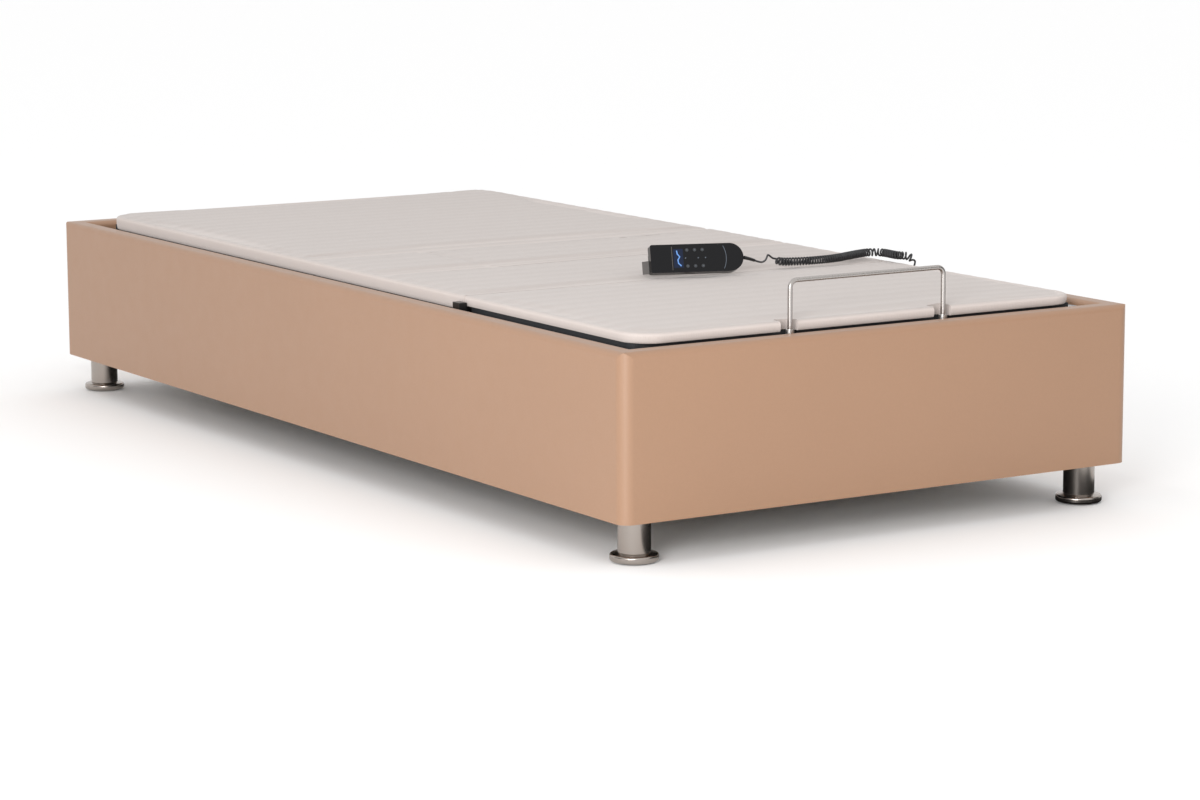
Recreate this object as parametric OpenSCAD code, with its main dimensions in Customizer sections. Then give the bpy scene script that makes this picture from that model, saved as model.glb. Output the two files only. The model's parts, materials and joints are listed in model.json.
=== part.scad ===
// Adjustable bed base: an upholstered box on four steel feet, around a
// four-section lying surface that a dual drive raises through torque tubes.
// +X is the sleeper's left-to-right width, +Y points to the head end, +Z is up.
// The origin is on the floor, below the middle of the box.

/* [Box] */
// Outer width of the upholstered box
base_w = 990; // [960:5:1020]
// Outer length of the upholstered box
base_l = 2080; // [2060:5:2120]
// Height of the upholstered box without its feet
box_h = 265; // [255:1:280]
// Thickness of an upholstered panel
panel_t = 40; // [38:0.5:44]
// Clear height of the feet below the box
leg_h = 70; // [60:1:90]

/* [Lying surface] */
// Half width of the padded surface
pad_half_w = 432; // [420:1:436]
// Thickness of the pads
pad_t = 21; // [18:0.5:24]
// Head edge of the padded surface, from the middle of the box
pad_head_y = 962; // [950:1:970]
// Foot edge of the padded surface, from the middle of the box
pad_foot_y = -985; // [-988:1:-975]
// Hinge line between back and seat
back_hinge_y = 115; // [110:1:120]
// Hinge line between seat and thigh
thigh_hinge_y = -140; // [-145:1:-135]
// Hinge line between thigh and calf, the knee
knee_y = -452; // [-460:1:-440]

/* [Feet] */
// Diameter of the foot tube
leg_d = 52; // [48:1:56]
// Diameter of the foot flange
flange_d = 77; // [72:1:80]
// Distance of each foot's axis from the outer faces
leg_inset = 56; // [54:1:60]

/* [Mattress retainer] */
// Diameter of the retainer bar
bar_d = 8; // [6:0.5:8]
// Distance between the posts of the retainer bar
bar_w = 300; // [240:5:340]
// Height of the retainer bar above the floor
bar_top_z = 419; // [400:1:430]

/* [Handset] */
// Length of the handset
handset_l = 163; // [158:1:168]
// Width of the handset
handset_w = 49; // [46:1:52]
// Backward lean of the handset as it stands on its long edge
handset_lean = 19; // [15:1:22]
// Outer diameter of the curly cord
curl_d = 15; // [13:0.5:15]

/* [Hidden] */
$fn = 48;

eps = 0.01;
top_z = leg_h + box_h;
half_w = base_w / 2;
half_l = base_l / 2;

// Panels: leather over foam on a board, wrapped round the top and the bottom.
skin = 2;
foam_t = 22;
cap_t = 8;
edge_r = 10;
corner_r = 20;
return_h = 60;
board_in = panel_t - skin;

// Corner brackets and the studs of the feet
bracket_w = 90;
bracket_h = 90;
bracket_t = 4;
stud_r = 5;

// Fixed frame
rail_w = 25;
rail_z0 = 275;
rail_z1 = 325;
rail_out = half_w - panel_t;
rail_half_l = 985;
wall = 2;
cross_z0 = 250;
cross_ys = [900, 240, -260, -930];
rail_screw_ys = [-900, -450, 0, 450, 900];
rail_screw_z = 300;
screw_r = 3;
fit_gap = 0.05;

// Section frames and hinges
tube = 25;
tube_x = 400;
ply_t = 12;
ply_half_w = 425;
tube_z1 = 322;
ply_z1 = tube_z1 + ply_t;
pad_z0 = ply_z1;
pad_z1 = pad_z0 + pad_t;
pivot_z = tube_z1 - tube / 2;
pin_r = 5;
pin_bore_r = pin_r + fit_gap;
plate_x0 = 415;
plate_t = 6;
pad_corner_r = 50;
foot_frame_y = pad_foot_y + 30;
head_frame_y = pad_head_y - 30;

// Gaps at the hinges: the lower edge and the upper edge of each V
back_gap_low = 16;
back_gap_top = 30;
thigh_gap_low = 8;
thigh_gap_top = 15;
knee_gap = 3;

// Torque tubes, lift arms and levers
torque_r = 15;
torque_drop = 30;
torque_z = pivot_z - torque_drop;
arm_x0 = 364;
arm_t = 12;
arm_h_low = 3.5;
arm_h = 19;
arm_end_r = 17;
back_arm = 250;
leg_arm = 200;
lever_r = 60;
lever_tip_r = 9;
lever_w = 14;
lever_t = 14;
back_lever_tilt = -28.3;
leg_lever_tilt = 16.7;

// Dual drive
drive_y0 = -247.5;
drive_y1 = 227.5;
drive_half_w = 65;
drive_z0 = 178;
drive_split_z = 220;
drive_z1 = 262;
drive_wall = 3;
spindle_z = 195;
spindle_r = 6;
block_gap = 1;
riser_h = 31;
motor_y = -10;
gear_half = 15;

// Retainer bar and the notches that its posts stand in
bar_y = pad_foot_y;
bar_bend_r = 12;
notch_w = 34;
notch_d = 26;
sleeve_z0 = 300;
sleeve_z1 = 338;

// Knee ears and the plastic covers that come up between pad and panel
ear_t = 4;
ear_x1 = tube_x + tube / 2 + ear_t;
cover_t = 3;
cover_link_w = 8;
cover_block_x0 = 433;
cover_block_w = 14;
cover_block_l = 22;
cover_block_z0 = rail_z1 + 1;
cover_block_h = 15;

// Handset: local X along its length to the cord end, Y across, Z out of the face
handset_t = 18;
handset_split = 9;
handset_pos = [-55, -432, pad_z1 + 0.5];
handset_turn = -20;
shell_t = 2;
key_r = 3;
key_gap = 0.3;
key_x0 = 64;
key_dx = 13.5;
key_dy = 14;
key_len = 5;
key_rise = 0.6;
key_mat_z1 = 12;
hook_t = 2.5;
display_x0 = 40;
display_w = 17;
display_side = 8;
display_t = 1.2;

// Route of the curly cord, from the handset to the socket under the pad's edge
curl_r = curl_d / 2;
curl_sides = 12;
wire_r = 1.75;
wire_sides = 8;
curl_route = [
    [180, -458, 373], [186, -457, 369], [193, -456, 366], [204, -456, 363.8], [222, -459, 363],
    [252, -466, 363], [290, -466, 363], [320, -460, 363], [350, -448, 363], [380, -436, 363],
    [402, -430, 363], [416, -431, 363], [426, -439, 363], [429, -452, 363], [428, -470, 363],
    [427, -488, 363], [430, -501, 363.5], [436, -510, 362.5], [441.5, -515, 357.5],
    [443.5, -517, 350], [443.5, -517, 342]
];
handset_tail = [
    [101, -488.5, 381.5], [112, -489, 378.5], [123, -488, 375], [134, -485, 371.5],
    [146, -479, 369.5], [157, -472, 371], [165, -465, 374.5], [170, -460.5, 378],
    [174, -459, 377], [180, -458, 373]
];
socket_tail = [
    [443.5, -517, 342], [443.5, -517, 337], [441.5, -517, 332], [437, -517, 329.5],
    [433, -517, 329], [429, -517, 329]
];
socket_y = -517;
socket_x0 = 414;
socket_x1 = 429;
socket_w = 18;
socket_z1 = 333.5;

// Lead clipped inside the frame, from the control box to the cord's socket
lead_r = 2.5;
lead_x = 382;
lead_cut = 4;
lead_base_route = [
    [404.5, 380, 225], [390, 380, 225], [384, 377, 226], [382, 369, 228], [382, 350, 236],
    [382, 340, 238], [382, -90, 238], [382, -98, 241], [382, -102, 249], [382, -103, 290],
    [382, -106, 300], [382, -114, 304], [lead_x, thigh_hinge_y + lead_cut, pivot_z]
];
lead_calf_route = [
    [lead_x, knee_y - lead_cut, pivot_z], [382, -508, 309.5], [382, -515, 306], [382, -517, 299],
    [383, -517, 294], [388, -517, 290], [414, -517, 290], [419, -517, 294], [420, -517, 300],
    [420, -517, 319.5]
];
box_y0 = 350;
box_y1 = 500;
box_z0 = 190;
box_z1 = 262;
box_d = 50;
box_wall = 3;
inlet_w = 24;
inlet_h = 18;
inlet_depth = 16;
inlet_z = box_z0 + 36;

function unit(v) = v / norm(v);
function tangent(p, i) = unit(p[min(i + 1, len(p) - 1)] - p[max(i - 1, 0)]);
function sidewards(t) = unit(cross(abs(t[1]) > 0.8 ? [1, 0, 0] : [0, 1, 0], t));
function ring(c, t, a, r, n) = [
    for (k = [0:n - 1]) c + r * (cos(360 * k / n) * a + sin(360 * k / n) * cross(t, a))
];
// Carries the first ring's direction along the route, so that the tube doesn't twist.
function carried(p, i) = i == 0 ? sidewards(tangent(p, 0))
    : let (a = carried(p, i - 1), t = tangent(p, i)) unit(a - (a * t) * t);

module swept_tube(route, r, sides) {
    last = len(route) - 1;
    points = [for (i = [0:last]) each ring(route[i], tangent(route, i), carried(route, i), r, sides)];
    walls = [
        for (i = [0:last - 1], k = [0:sides - 1])
            [i * sides + k, i * sides + (k + 1) % sides,
             (i + 1) * sides + (k + 1) % sides, (i + 1) * sides + k]
    ];
    first_cap = [for (k = [sides - 1:-1:0]) k];
    last_cap = [for (k = [0:sides - 1]) last * sides + k];
    polyhedron(points = points, faces = concat(walls, [first_cap, last_cap]));
}

module both_sides() {
    children();
    mirror([1, 0, 0]) children();
}

module x_rod(x0, x1, y, z, r) {
    translate([x0, y, z]) rotate([0, 90, 0]) cylinder(r = r, h = x1 - x0);
}

module rect_tube_y(x, y0, y1, z0, w, h) {
    difference() {
        translate([x - w / 2, y0, z0]) cube([w, y1 - y0, h]);
        translate([x - w / 2 + wall, y0 - 1, z0 + wall]) cube([w - 2 * wall, y1 - y0 + 2, h - 2 * wall]);
    }
}

module rect_tube_x(half, y, z0) {
    difference() {
        translate([-half, y - tube / 2, z0]) cube([2 * half, tube, tube]);
        translate([-half - 1, y - tube / 2 + wall, z0 + wall])
            cube([2 * half + 2, tube - 2 * wall, tube - 2 * wall]);
    }
}

// ---- Upholstered panels ----

module cover_profile() {
    difference() {
        union() {
            translate([0, leg_h]) square([panel_t, box_h - edge_r]);
            translate([edge_r, leg_h]) square([panel_t - 2 * edge_r, box_h]);
            for (t = [edge_r, panel_t - edge_r]) translate([t, top_z - edge_r]) circle(r = edge_r);
        }
        translate([foam_t, leg_h + skin]) square([board_in - foam_t, box_h - skin - cap_t]);
        translate([board_in - eps, leg_h + skin]) square([skin + 1, box_h - skin - return_h]);
    }
}

module footprint() {
    for (x = [-1, 1], y = [-1, 1])
        translate([x * (half_w - corner_r), y * (half_l - corner_r)]) circle(r = corner_r);
    square([base_w - 2 * corner_r, base_l], center = true);
    square([base_w, base_l - 2 * corner_r], center = true);
}

// A wall with its outer face at -X, mitred at both ends.
module wall_solid(length, dist) {
    intersection() {
        translate([-dist, length / 2, 0]) rotate([90, 0, 0]) linear_extrude(length) cover_profile();
        linear_extrude(top_z + 1) polygon([
            [-dist, -length / 2], [-dist, length / 2],
            [-dist + panel_t, length / 2 - panel_t], [-dist + panel_t, panel_t - length / 2]
        ]);
    }
}

module side_cover(side) {
    color("tan") mirror([side > 0 ? 1 : 0, 0, 0]) difference() {
        intersection() {
            wall_solid(base_l, half_w);
            linear_extrude(top_z + 1) footprint();
        }
        mirror([1, 0, 0]) board_holes();
    }
}

module end_cover(end) {
    color("tan") intersection() {
        rotate([0, 0, end > 0 ? -90 : 90]) wall_solid(base_w, half_l);
        linear_extrude(top_z + 1) footprint();
    }
}

// The holes for the rail screws on the +X side.
module board_holes() {
    for (y = rail_screw_ys) x_rod(rail_out - 1, half_w - foam_t + 1, y, rail_screw_z, screw_r + fit_gap);
}

module panel_boards() {
    board_h = box_h - skin - cap_t;
    color("burlywood") {
        both_sides() difference() {
            translate([half_w - board_in, foam_t - half_l, leg_h + skin])
                cube([board_in - foam_t, base_l - 2 * foam_t, board_h]);
            board_holes();
        }
        for (turn = [0, 180]) rotate([0, 0, turn])
            translate([board_in - half_w + 0.2, half_l - board_in, leg_h + skin])
                cube([base_w - 2 * board_in - 0.4, board_in - foam_t, board_h]);
    }
}

// ---- Corners, feet and screws ----

module at_corners() {
    for (x = [-1, 1], y = [-1, 1])
        mirror([x > 0 ? 1 : 0, 0, 0]) mirror([0, y > 0 ? 1 : 0, 0]) children();
}

module corner_brackets() {
    x0 = board_in - half_w;
    y0 = board_in - half_l;
    z0 = leg_h + skin;
    color("silver") at_corners() difference() {
        union() {
            translate([x0, y0, z0]) cube([bracket_w, bracket_w, bracket_t]);
            translate([x0, y0, z0]) cube([bracket_t, bracket_w, bracket_h]);
            translate([x0, y0, z0]) cube([bracket_w, bracket_t, bracket_h]);
        }
        translate([leg_inset - half_w, leg_inset - half_l, z0 - 1])
            cylinder(r = stud_r + 0.5, h = bracket_t + 2);
    }
}

module leg(x_side, y_side) {
    flange_r = flange_d / 2;
    flange_z0 = 2;
    flange_z1 = 14;
    round_r = 4;
    tube_r = leg_d / 2;
    color("lightgray") translate([x_side * (half_w - leg_inset), y_side * (half_l - leg_inset), 0]) {
        rotate_extrude() {
            translate([0, flange_z0]) square([flange_r - round_r, flange_z1 - flange_z0]);
            translate([0, flange_z0 + round_r]) square([flange_r, flange_z1 - flange_z0 - 2 * round_r]);
            for (z = [flange_z0 + round_r, flange_z1 - round_r])
                translate([flange_r - round_r, z]) circle(r = round_r, $fn = 24);
            polygon([[0, flange_z1 - 1], [flange_r - round_r, flange_z1 - 1], [flange_r - round_r, flange_z1],
                     [tube_r, flange_z1 + 2], [0, flange_z1 + 2]]);
            translate([0, flange_z1]) square([tube_r, leg_h - flange_z1]);
            translate([0, leg_h - eps]) square([stud_r, 16 + eps]);
        }
    }
}

module leg_glides() {
    color("dimgray") for (x = [-1, 1], y = [-1, 1])
        translate([x * (half_w - leg_inset), y * (half_l - leg_inset), 0]) cylinder(r = 30, h = 2);
}

module rail_screw(y) {
    x_rod(rail_out - rail_w - 4, rail_out - rail_w, y, rail_screw_z, 6);
    x_rod(rail_out - rail_w - eps, half_w - foam_t - 4, y, rail_screw_z, screw_r);
}

module leg_nut() {
    z0 = leg_h + skin + bracket_t;
    translate([leg_inset - half_w, leg_inset - half_l, z0]) difference() {
        cylinder(r = 9, h = 8, $fn = 6);
        translate([0, 0, -1]) cylinder(r = stud_r + fit_gap, h = 10);
    }
}

module frame_screws() {
    color("silver") {
        both_sides() for (y = rail_screw_ys) rail_screw(y);
        at_corners() leg_nut();
    }
}

// ---- Fixed steel frame ----

module frame_rail(side) {
    color("silver") mirror([side < 0 ? 1 : 0, 0, 0]) difference() {
        rect_tube_y(rail_out - rail_w / 2, -rail_half_l, rail_half_l, rail_z0, rail_w, rail_z1 - rail_z0);
        for (y = rail_screw_ys)
            x_rod(rail_out - rail_w - 1, rail_out + 1, y, rail_screw_z, screw_r + fit_gap);
    }
}

module frame_cross_tubes() {
    color("silver") for (y = cross_ys) rect_tube_x(rail_out, y, cross_z0);
}

module seat_brackets() {
    y0 = thigh_hinge_y - 26;
    y1 = back_hinge_y + 26;
    spacer_ys = [-60, 40];
    flange_w = 50;
    flange_t = 4;
    color("silver") both_sides() difference() {
        union() {
            translate([plate_x0, y0, torque_z - 24]) cube([plate_t, y1 - y0, tube_z1 - torque_z + 24]);
            for (y = spacer_ys) x_rod(plate_x0 + plate_t, rail_out - rail_w, y, rail_screw_z, 9);
            translate([plate_x0 - flange_w, thigh_hinge_y + 40, tube_z1 - flange_t])
                cube([flange_w + plate_t, back_hinge_y - thigh_hinge_y - 80, flange_t]);
        }
        for (y = [back_hinge_y, thigh_hinge_y]) {
            x_rod(plate_x0 - 1, plate_x0 + plate_t + 1, y, pivot_z, pin_r);
            x_rod(plate_x0 - 1, plate_x0 + plate_t + 1, y, torque_z, torque_r + 3);
        }
    }
}

module hinge_pins() {
    color("gray") both_sides() for (y = [back_hinge_y, thigh_hinge_y]) {
        x_rod(tube_x - tube / 2, plate_x0 + plate_t, y, pivot_z, pin_r);
        x_rod(plate_x0 + plate_t, plate_x0 + plate_t + 3, y, pivot_z, 8);
    }
}

module torque_bearings() {
    color("ivory") both_sides() for (y = [back_hinge_y, thigh_hinge_y]) difference() {
        union() {
            x_rod(plate_x0, plate_x0 + plate_t, y, torque_z, torque_r + 3);
            x_rod(plate_x0 + plate_t, plate_x0 + plate_t + 2, y, torque_z, torque_r + 6);
        }
        x_rod(plate_x0 - 1, plate_x0 + plate_t + 3, y, torque_z, torque_r + fit_gap);
    }
}

// ---- Sections of the lying surface ----

// A pad or board between y0 and y1 whose ends may slope: low and top give the end's
// distance from the hinge line at the under side and at the upper side.
module slab(y0_low, y0_top, y1_low, y1_top, half, z0, z1) {
    translate([-half, 0, 0]) rotate([90, 0, 90]) linear_extrude(2 * half)
        polygon([[y0_low, z0], [y1_low, z0], [y1_top, z1], [y0_top, z1]]);
}

module pad_outline() {
    r = pad_corner_r;
    for (x = [-1, 1]) {
        translate([x * (pad_half_w - r), pad_head_y - r]) circle(r = r);
        translate([x * (pad_half_w - r), pad_foot_y + r]) circle(r = r);
    }
    translate([r - pad_half_w, pad_foot_y]) square([2 * (pad_half_w - r), pad_head_y - pad_foot_y]);
    translate([-pad_half_w, pad_foot_y + r]) square([2 * pad_half_w, pad_head_y - pad_foot_y - 2 * r]);
}

module notches() {
    for (x = [-1, 1]) translate([x * bar_w / 2 - notch_w / 2, pad_foot_y - 1, pad_z0 - ply_t - 1])
        cube([notch_w, notch_d + 1, pad_t + ply_t + 2]);
}

module pad_slab(y0_low, y0_top, y1_low, y1_top) {
    color("ghostwhite") intersection() {
        slab(y0_low, y0_top, y1_low, y1_top, pad_half_w + 1, pad_z0, pad_z1);
        translate([0, 0, pad_z0 - 1]) linear_extrude(pad_t + 2) pad_outline();
    }
}

module board_slab(y0, y1) {
    color("dimgray") slab(y0, y0, y1, y1, ply_half_w, tube_z1, ply_z1);
}

module back_pad() {
    y = back_hinge_y;
    pad_slab(y + back_gap_low, y + back_gap_top, pad_head_y + 1, pad_head_y + 1);
}

module seat_pad() {
    pad_slab(thigh_hinge_y + thigh_gap_low, thigh_hinge_y + thigh_gap_top,
             back_hinge_y - back_gap_low, back_hinge_y - back_gap_top);
}

module thigh_pad() {
    pad_slab(knee_y + knee_gap, knee_y + knee_gap,
             thigh_hinge_y - thigh_gap_low, thigh_hinge_y - thigh_gap_top);
}

module calf_pad() {
    difference() {
        pad_slab(pad_foot_y - 1, pad_foot_y - 1, knee_y - knee_gap, knee_y - knee_gap);
        notches();
    }
}

module back_board() {
    board_slab(back_hinge_y + back_gap_low, head_frame_y + 10);
}

module seat_board() {
    board_slab(thigh_hinge_y + thigh_gap_low, back_hinge_y - back_gap_low);
}

// Room at the boards' edges for the knee covers.
module knee_notches() {
    half = cover_block_l / 2 + 2;
    both_sides() translate([ear_x1 - 2, knee_y - half, tube_z1 - 1])
        cube([ply_half_w - ear_x1 + 3, 2 * half, ply_t + 2]);
}

module thigh_board() {
    difference() {
        board_slab(knee_y + knee_gap, thigh_hinge_y - thigh_gap_low);
        knee_notches();
    }
}

module calf_board() {
    difference() {
        board_slab(foot_frame_y - 10, knee_y - knee_gap);
        knee_notches();
        notches();
        translate([socket_x0, socket_y - socket_w / 2, tube_z1 - 1])
            cube([ply_half_w - socket_x0 + 1, socket_w, ply_t + 2]);
    }
}

// Side tubes with a rounded end and a cross bore at each hinge line.
module hinged_tubes(y_bore, y_far) {
    dir = y_far > y_bore ? 1 : -1;
    solid_end = 30;
    both_sides() difference() {
        union() {
            x_rod(tube_x - tube / 2, tube_x + tube / 2, y_bore, pivot_z, tube / 2);
            translate([tube_x - tube / 2, min(y_bore, y_far), tube_z1 - tube])
                cube([tube, abs(y_far - y_bore), tube]);
        }
        x_rod(tube_x - tube, tube_x + tube, y_bore, pivot_z, pin_bore_r);
        translate([tube_x - tube / 2 + wall,
                   dir > 0 ? y_bore + solid_end : y_far + wall, tube_z1 - tube + wall])
            cube([tube - 2 * wall, abs(y_far - y_bore) - solid_end - wall, tube - 2 * wall]);
    }
}

module back_side_tubes() {
    color("silver") hinged_tubes(back_hinge_y, head_frame_y);
}

module back_cross_tubes() {
    color("silver") for (y = [head_frame_y - tube / 2, 520])
        rect_tube_x(tube_x - tube / 2, y, tube_z1 - tube);
}

// Side tubes that end short of the knee; their ears hold the knee pins.
module thigh_side_tubes() {
    ear_r = 12;
    ear_l = 60;
    color("silver") {
        hinged_tubes(thigh_hinge_y, knee_y + tube / 2 + 2);
        both_sides() {
            translate([ear_x1 - ear_t, knee_y, pivot_z - ear_r]) cube([ear_t, ear_l, 2 * ear_r]);
            x_rod(ear_x1 - ear_t, ear_x1, knee_y, pivot_z, ear_r);
            x_rod(tube_x - tube / 2, ear_x1, knee_y, pivot_z, pin_r);
        }
    }
}

module calf_side_tubes() {
    color("silver") hinged_tubes(knee_y, foot_frame_y);
}

module calf_cross_tubes() {
    color("silver") for (y = [foot_frame_y + tube / 2, -720])
        rect_tube_x(tube_x - tube / 2, y, tube_z1 - tube);
}

module knee_covers() {
    link_z1 = pad_z0 - 0.5;
    color("black") both_sides() {
        x_rod(ear_x1, ear_x1 + cover_t, knee_y, pivot_z, 10);
        translate([ear_x1, knee_y - cover_link_w / 2, pivot_z])
            cube([cover_t, cover_link_w, link_z1 - pivot_z]);
        translate([ear_x1, knee_y - cover_link_w / 2, cover_block_z0])
            cube([cover_block_x0 - ear_x1 + 1, cover_link_w, link_z1 - cover_block_z0]);
        translate([cover_block_x0, knee_y - cover_block_l / 2, cover_block_z0])
            cube([cover_block_w, cover_block_l, cover_block_h]);
    }
}

// ---- Torque tubes, lift arms, drive ----

// Arms beside the side tubes, each with a round end that reaches under its tube.
// dir is +1 for the back, whose arms point to the head end, and -1 for the legs.
module lift_arms(y, reach, dir) {
    color("gray") both_sides() difference() {
        union() {
            translate([arm_x0, dir > 0 ? y : y - reach, torque_z - arm_h_low]) cube([arm_t, reach, arm_h]);
            x_rod(arm_x0 - 2, arm_x0 + arm_t + 2, y, torque_z, torque_r + 4);
            x_rod(arm_x0, tube_x + tube / 2 - 2, y + dir * reach, torque_z, arm_end_r);
        }
        x_rod(arm_x0 - 3, arm_x0 + arm_t + 3, y, torque_z, torque_r);
    }
}

module torque_tube(y, tilt) {
    color("gray") difference() {
        union() {
            x_rod(-plate_x0 - plate_t, plate_x0 + plate_t, y, torque_z, torque_r);
            translate([-lever_t / 2, y, torque_z]) rotate([tilt, 0, 0]) {
                translate([0, -lever_w / 2, -lever_r]) cube([lever_t, lever_w, lever_r]);
                translate([0, 0, -lever_r]) rotate([0, 90, 0]) cylinder(r = lever_tip_r, h = lever_t);
            }
        }
        both_sides() x_rod(2 * lever_t, plate_x0 + plate_t + 1, y, torque_z, torque_r - 2.5);
    }
}

module drive_shell(z0, z1) {
    difference() {
        translate([-drive_half_w, drive_y0, z0]) cube([2 * drive_half_w, drive_y1 - drive_y0, z1 - z0]);
        translate([drive_wall - drive_half_w, drive_y0 + drive_wall, drive_z0 + drive_wall])
            cube([2 * (drive_half_w - drive_wall), drive_y1 - drive_y0 - 2 * drive_wall,
                  drive_z1 - drive_z0 - 2 * drive_wall]);
    }
}

module drive_housing() {
    color("dimgray") drive_shell(drive_z0, drive_split_z);
}

module drive_cover() {
    slot_w = 26;
    slot_l = 90;
    color("dimgray") difference() {
        drive_shell(drive_split_z, drive_z1);
        for (y = [back_hinge_y, thigh_hinge_y])
            translate([-slot_w / 2, y - slot_l / 2, drive_z1 - drive_wall - 1])
                cube([slot_w, slot_l, drive_wall + 2]);
    }
}

// Two motor cans on one gear block, with the spindle that runs through it to both ends.
module drive_motors() {
    color("darkslategray") {
        translate([-22, motor_y - gear_half, drive_z0 + drive_wall])
            cube([44, 2 * gear_half, 34]);
        both_sides() x_rod(22 - eps, drive_half_w - drive_wall - 1, motor_y, drive_z0 + drive_wall + 21, 20);
        translate([0, drive_y0 + drive_wall, spindle_z]) rotate([-90, 0, 0])
            cylinder(r = spindle_r, h = drive_y1 - drive_y0 - 2 * drive_wall);
    }
}

// The block's riser bears on the lever's tip from the side that dir points away from.
module push_block(y_tip, dir) {
    riser_t = 10;
    face = y_tip - dir * (lever_tip_r + block_gap);
    middle = face - dir * riser_t / 2;
    color("ivory") difference() {
        union() {
            translate([-20, middle - 14, spindle_z - 11]) cube([40, 28, 22]);
            translate([-14, middle - riser_t / 2, spindle_z]) cube([28, riser_t, riser_h]);
        }
        translate([0, middle - 20, spindle_z]) rotate([-90, 0, 0]) cylinder(r = spindle_r + fit_gap, h = 40);
    }
}

module back_push_block() {
    push_block(back_hinge_y + lever_r * sin(back_lever_tilt), 1);
}

module leg_push_block() {
    push_block(thigh_hinge_y + lever_r * sin(leg_lever_tilt), -1);
}

// ---- Electrics ----

module control_box() {
    x0 = half_w - board_in - box_d;
    inner = box_d - 2 * box_wall;
    inlet_x = x0 + box_d / 2;
    color("dimgray") difference() {
        translate([x0, box_y0, box_z0]) cube([box_d, box_y1 - box_y0, box_z1 - box_z0]);
        translate([x0 + box_wall, box_y0 + box_wall, box_z0 + box_wall])
            cube([inner, box_y1 - box_y0 - 2 * box_wall - inlet_depth, box_z1 - box_z0 - 2 * box_wall]);
        translate([inlet_x - inlet_w / 2, box_y1 - inlet_depth, inlet_z - inlet_h / 2])
            cube([inlet_w, inlet_depth + 1, inlet_h]);
    }
}

module handset_lead_base() {
    color("black") swept_tube(lead_base_route, lead_r, wire_sides);
}

module handset_lead_thigh() {
    color("black") swept_tube([
        [lead_x, thigh_hinge_y - lead_cut, pivot_z], [lead_x, knee_y + lead_cut, pivot_z]
    ], lead_r, wire_sides);
}

module handset_lead_calf() {
    color("black") swept_tube(lead_calf_route, lead_r, wire_sides);
}

module cord_socket() {
    color("black") translate([socket_x0, socket_y - socket_w / 2, tube_z1])
        cube([socket_x1 - socket_x0, socket_w, socket_z1 - tube_z1]);
}

module curly_cord() {
    color("black") swept_tube(curl_route, curl_r, curl_sides);
}

module cord_tails() {
    color("black") {
        swept_tube(handset_tail, wire_r, wire_sides);
        swept_tube(socket_tail, wire_r, wire_sides);
    }
}

// ---- Knee, retainer ----

module retainer_bar() {
    r = bar_d / 2;
    z_bend = bar_top_z - r - bar_bend_r;
    x_post = bar_w / 2;
    color("silver") translate([0, bar_y, 0]) both_sides() {
        translate([x_post, 0, sleeve_z0 + 2]) cylinder(r = r, h = z_bend - sleeve_z0 - 2);
        translate([x_post - bar_bend_r, 0, z_bend]) rotate([90, 0, 0])
            rotate_extrude(angle = 90) translate([bar_bend_r, 0]) circle(r = r, $fn = 24);
        translate([-eps, 0, bar_top_z - r]) rotate([0, 90, 0]) cylinder(r = r, h = x_post - bar_bend_r + eps);
    }
}

module retainer_sleeves() {
    r = bar_d / 2 + fit_gap;
    color("silver") both_sides() difference() {
        union() {
            translate([bar_w / 2, bar_y, sleeve_z0]) cylinder(r = 7, h = sleeve_z1 - sleeve_z0);
            translate([bar_w / 2 - 6, bar_y, sleeve_z0])
                cube([12, foot_frame_y - bar_y, tube_z1 - sleeve_z0]);
        }
        translate([bar_w / 2, bar_y, sleeve_z0 + 2]) cylinder(r = r, h = sleeve_z1);
    }
}

// ---- Handset ----

module place_handset() {
    translate(handset_pos) rotate([0, 0, handset_turn]) rotate([90 - handset_lean, 0, 0]) children();
}

module handset_outline() {
    r = handset_w / 2;
    round_r = 3;
    translate([handset_l - r, r]) circle(r = r);
    translate([round_r, 0]) square([handset_l - r - round_r, handset_w]);
    translate([0, round_r]) square([handset_l - r, handset_w - 2 * round_r]);
    for (y = [round_r, handset_w - round_r]) translate([round_r, y]) circle(r = round_r);
}

module handset_cavity(z0, z1) {
    translate([2 * shell_t, shell_t, z0])
        cube([handset_l - handset_w / 2 - 2 * shell_t, handset_w - 2 * shell_t, z1 - z0]);
}

module handset_back() {
    color("black") place_handset() {
        difference() {
            linear_extrude(handset_split) handset_outline();
            handset_cavity(shell_t, handset_split + 1);
        }
        // The mat that the keys press on
        translate([key_x0 - 6, shell_t + 3, shell_t - eps])
            cube([2 * key_dx + 12, handset_w - 2 * shell_t - 6, key_mat_z1 - shell_t]);
    }
}

module key_at(column, row, r, z0, z1) {
    translate([key_x0 + column * key_dx, handset_w / 2 + row * key_dy, z0]) cylinder(r = r, h = z1 - z0);
}

module handset_front() {
    color("black") place_handset() difference() {
        translate([0, 0, handset_split]) linear_extrude(handset_t - handset_split) handset_outline();
        handset_cavity(handset_split - 1, handset_t - shell_t);
        translate([display_x0, display_side, handset_t - display_t])
            cube([display_w, handset_w - 2 * display_side, display_t + 1]);
        for (column = [0:2], row = [-1, 1])
            key_at(column, row, key_r + key_gap, handset_t - shell_t - 1, handset_t + 1);
    }
}

module handset_display() {
    color("midnightblue") place_handset() translate([display_x0, display_side, handset_t - display_t])
        cube([display_w, handset_w - 2 * display_side, display_t - 0.2]);
}

// A folded plate behind the flat end, whose flap stands out past it.
module handset_hook() {
    flap_w = 22;
    plate_l = 30;
    flap_l = 12;
    color("dimgray") place_handset() {
        translate([0, 1.5, -hook_t]) cube([plate_l, 32, hook_t]);
        translate([0, 3, 0]) rotate([0, -30, 0]) translate([-flap_l, 0, -hook_t])
            cube([flap_l, flap_w, hook_t]);
    }
}

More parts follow.
